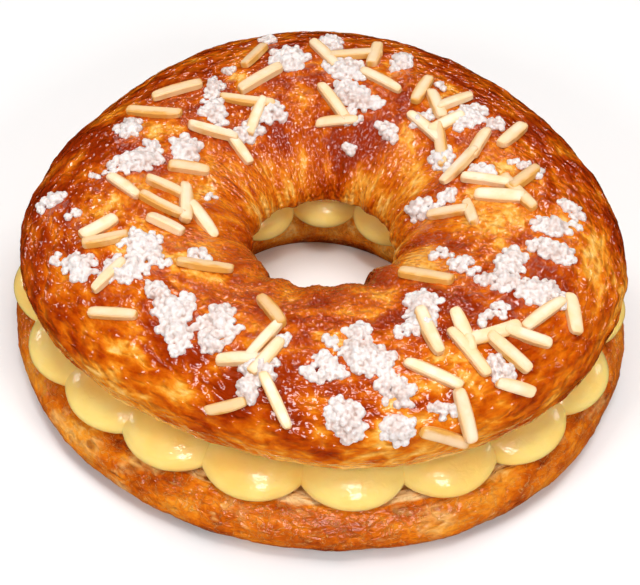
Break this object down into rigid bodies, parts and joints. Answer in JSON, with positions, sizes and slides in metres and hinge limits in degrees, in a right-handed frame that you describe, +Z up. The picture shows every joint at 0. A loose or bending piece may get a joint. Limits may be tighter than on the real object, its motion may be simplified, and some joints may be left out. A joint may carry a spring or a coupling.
{
  "type": "king cake",
  "caption": "Filled king cake: a glazed brioche ring split in two, piped custard between the slices, almond batons and pearl sugar on top.",
  "frame": {"origin": "centre of the ring's box, on the flat underside it stands on", "axes": "+Z up along the ring's axis; the front of the ring faces -Y"},
  "size_m": [0.276, 0.2628, 0.0967],
  "materials": {
    "crust": "egg-washed brioche crust, baked golden to deep brown, glossy",
    "crumb": "brioche crust and open cut crumb, matt to satin",
    "custard": "smooth piped custard, soft gloss",
    "almond": "blanched almond, cut in batons, lightly toasted",
    "pearl_sugar": "moistened white sugar nuggets, translucent"
  },
  "bodies": {
    "root": {"bottom_slice": "crumb", "custard": "custard", "top_slice": "crust"}
  },
  "joints": []
}
